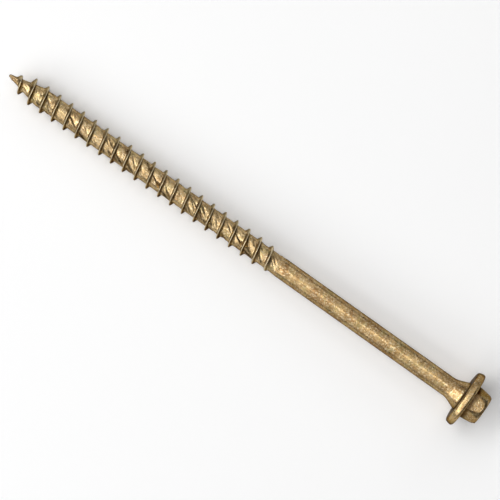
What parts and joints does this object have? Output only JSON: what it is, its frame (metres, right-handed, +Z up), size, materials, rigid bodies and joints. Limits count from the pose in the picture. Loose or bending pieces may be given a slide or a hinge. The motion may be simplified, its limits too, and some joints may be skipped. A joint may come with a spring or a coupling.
{
  "type": "construction screw",
  "caption": "Long timber screw with a hexagon head, round bearing flange, trumpet neck, plain shank and coarse right-hand thread running to a gimlet point, lying at rest.",
  "frame": {"origin": "centre of the bounding box on the ground plane, below the screw as it lies", "axes": "+X runs from the point to the head, level with the ground; the screw's own axis leans 1.8 degrees up towards the head, because the flange is wider than the thread; +Z up"},
  "size_m": [0.1466, 0.0152, 0.0153],
  "materials": {
    "screw": "yellow passivated zinc plating over carbon steel, satin, mottled"
  },
  "bodies": {
    "root": {"screw": "screw"}
  },
  "joints": []
}
